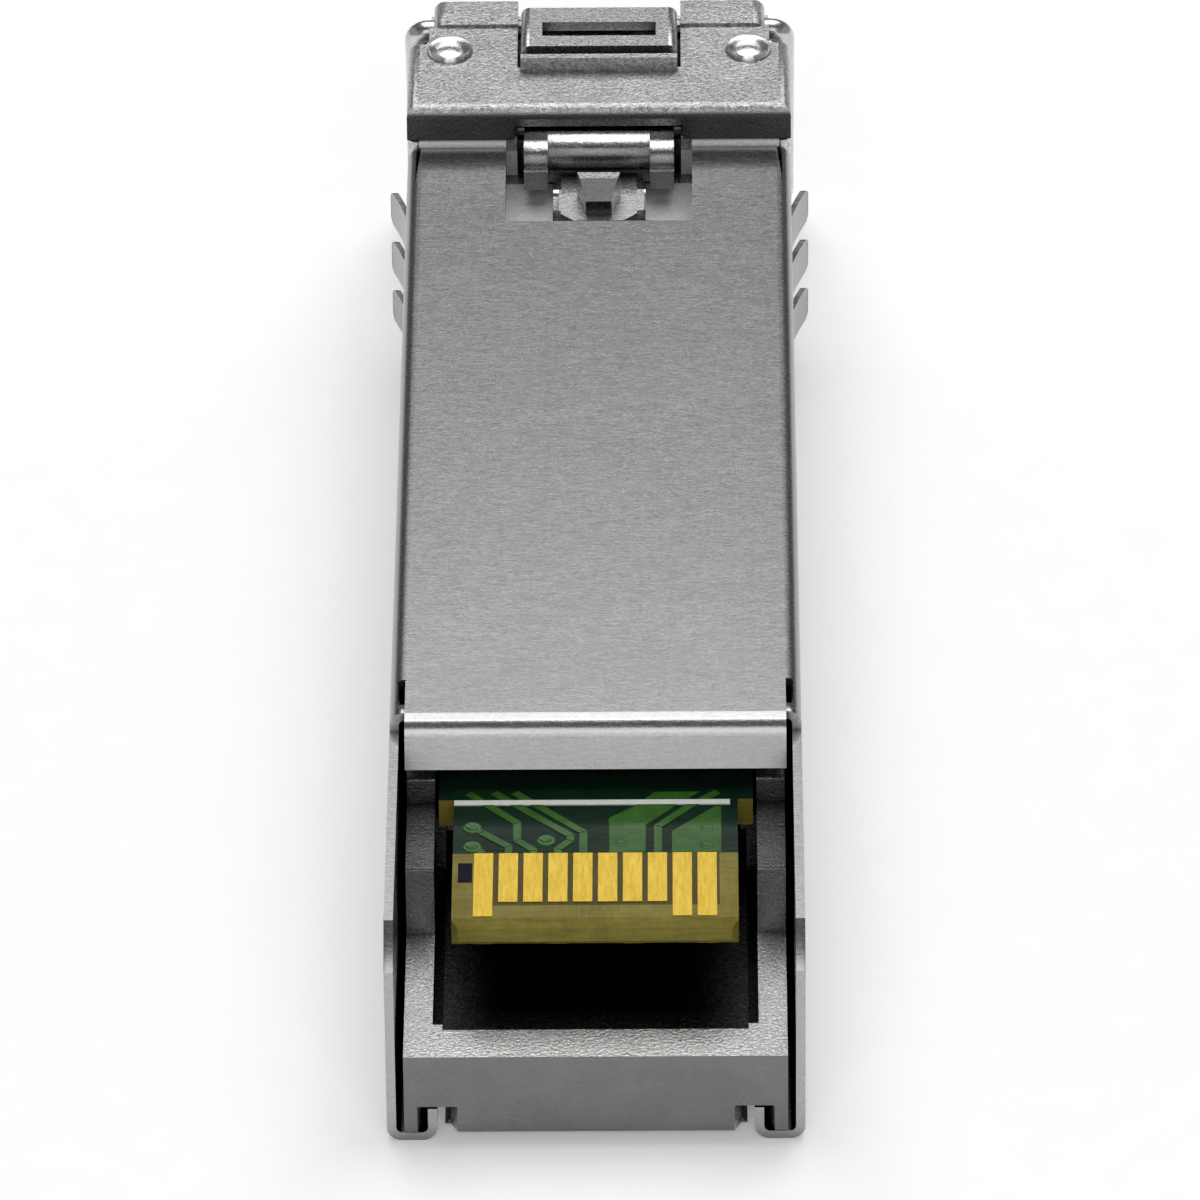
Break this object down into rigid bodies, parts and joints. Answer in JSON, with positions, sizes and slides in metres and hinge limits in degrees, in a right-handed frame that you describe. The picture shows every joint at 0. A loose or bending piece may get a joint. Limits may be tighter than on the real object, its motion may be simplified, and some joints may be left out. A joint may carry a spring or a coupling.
{
  "type": "sfp transceiver",
  "caption": "Pluggable optical transceiver module: folded sheet cover over a cast base, board edge at the rear, twin connector ports at the nose, rocking latch worked by a wire bail.",
  "frame": {"origin": "middle of the rear end, on the plane that the cover's folded feet rest on", "axes": "+Y from the rear end to the optical face, +Z to the latch side, X across the width"},
  "size_m": [0.0146, 0.0576, 0.0105],
  "materials": {
    "sheet_steel": "brushed satin sheet",
    "cast_zinc": "blasted zinc casting",
    "rivet_zinc": "staked metal",
    "rocker_steel": "moulded metal, satin",
    "pin_steel": "ground pin",
    "spring_steel": "spring strip",
    "wire_steel": "drawn wire",
    "board": "green solder mask on glass fibre",
    "gold": "gold plating",
    "gold_can": "gold plated can",
    "optics_steel": "turned steel",
    "zirconia": "white ceramic",
    "polyimide": "amber film",
    "retainer_plastic": "moulded comb",
    "chip": "moulded package",
    "capacitor": "ceramic chip"
  },
  "bodies": {
    "housing": {"cover_shell": "sheet_steel", "base_housing": "cast_zinc", "nose_plate": "cast_zinc", "nose_rivets": "rivet_zinc", "rocker_pin": "pin_steel", "latch_spring": "spring_steel", "circuit_board": "board", "contacts_latch_side": "gold", "contacts_label_side": "gold", "optics_retainer": "retainer_plastic", "driver_chip": "chip", "amplifier_chip": "chip", "controller_chip": "chip", "chip_capacitors": "capacitor", "transmit_can": "gold_can", "transmit_holder": "optics_steel", "transmit_receptacle": "optics_steel", "transmit_sleeve": "zirconia", "transmit_stub": "zirconia", "transmit_flex": "polyimide", "receive_can": "gold_can", "receive_holder": "optics_steel", "receive_receptacle": "optics_steel", "receive_sleeve": "zirconia", "receive_stub": "zirconia", "receive_flex": "polyimide"},
    "rocker": {"latch_rocker": "rocker_steel"},
    "bail": {"bail_wire": "wire_steel"}
  },
  "joints": [
    {"name": "bail_swing", "type": "hinge", "parent": "housing", "child": "bail", "pos_m": [0, 0.05395, 0.0094], "axis": [1, 0, 0], "range_deg": [0, 75]},
    {"name": "rocker_tilt", "type": "hinge", "parent": "housing", "child": "rocker", "pos_m": [0, 0.0495, 0.00805], "axis": [1, 0, 0], "range_deg": [0, 7], "deforming": ["latch_spring"]}
  ],
  "couplings": [
    {"joint": "rocker_tilt", "follows": "bail_swing", "ratio": 0.093333}
  ]
}
